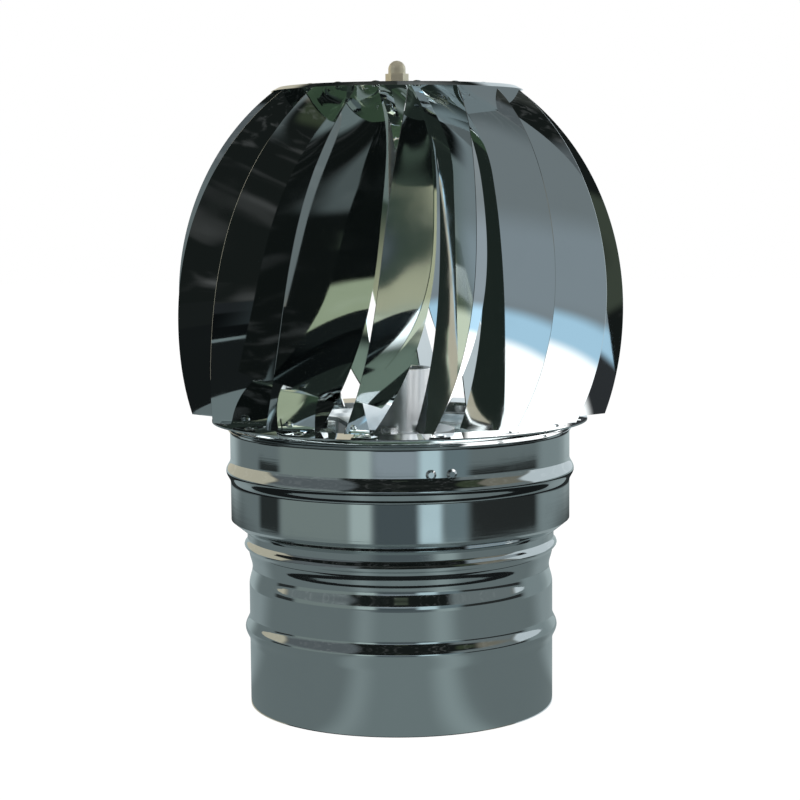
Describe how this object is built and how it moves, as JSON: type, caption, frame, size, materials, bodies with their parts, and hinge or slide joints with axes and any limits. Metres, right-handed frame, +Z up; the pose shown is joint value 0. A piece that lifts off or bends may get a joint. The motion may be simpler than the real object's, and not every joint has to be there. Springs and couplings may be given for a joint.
{
  "type": "rotating chimney cowl",
  "caption": "Rotating chimney cowl in mirror-polished stainless steel: folded leaning vanes turn on a ball-bearing spindle above a beaded spigot and collar.",
  "frame": {"origin": "centre of the spigot's lower rim, on the surface that it stands on", "axes": "+Z up along the spindle, -Y towards the picture's front, +X to its right"},
  "size_m": [0.2904, 0.2904, 0.4196],
  "materials": {
    "polished_base": "mirror-polished stainless steel sheet, faint drawing marks",
    "polished_head": "mirror-polished stainless steel sheet, folded",
    "plain_steel": "cold-rolled stainless steel, satin",
    "rivet_steel": "stainless steel blind rivets, satin",
    "turned_steel": "turned steel",
    "fastener_zinc": "zinc-plated steel",
    "bearing_steel": "ground bearing steel",
    "cage_brass": "machined brass",
    "cap_nut_brass": "dulled brass"
  },
  "bodies": {
    "base": {"spigot": "polished_base", "collar": "polished_base", "bridge": "plain_steel", "bridge_rivets": "rivet_steel", "bearing_housing": "turned_steel", "housing_bolts": "fastener_zinc", "housing_nuts": "fastener_zinc", "lower_outer_race": "bearing_steel", "upper_outer_race": "bearing_steel", "outer_spacer": "turned_steel", "retaining_ring": "fastener_zinc"},
    "ball_sets": {"lower_balls": "bearing_steel", "upper_balls": "bearing_steel", "lower_cage": "cage_brass", "upper_cage": "cage_brass"},
    "head": {"crown_plate": "polished_head", "crown_stiffener": "plain_steel", "bottom_ring": "polished_head", "vane_01": "polished_head", "vane_02": "polished_head", "vane_03": "polished_head", "vane_04": "polished_head", "vane_05": "polished_head", "vane_06": "polished_head", "vane_07": "polished_head", "vane_08": "polished_head", "vane_09": "polished_head", "vane_10": "polished_head", "vane_11": "polished_head", "vane_12": "polished_head", "vane_13": "polished_head", "vane_14": "polished_head", "vane_15": "polished_head", "vane_16": "polished_head", "ring_rivets": "rivet_steel", "crown_rivets": "rivet_steel", "spindle": "turned_steel", "lower_inner_race": "bearing_steel", "upper_inner_race": "bearing_steel", "inner_spacer": "turned_steel", "spindle_washer": "fastener_zinc", "spindle_nut": "fastener_zinc", "crown_washer": "fastener_zinc", "cap_nut": "cap_nut_brass"}
  },
  "joints": [
    {"name": "head_spin", "type": "hinge", "parent": "base", "child": "head", "pos_m": [0, 0, 0.2], "axis": [0, 0, 1], "continuous": true},
    {"name": "ball_roll", "type": "hinge", "parent": "base", "child": "ball_sets", "pos_m": [0, 0, 0.2], "axis": [0, 0, 1], "continuous": true}
  ],
  "couplings": [
    {"joint": "ball_roll", "follows": "head_spin", "ratio": 0.3636}
  ]
}
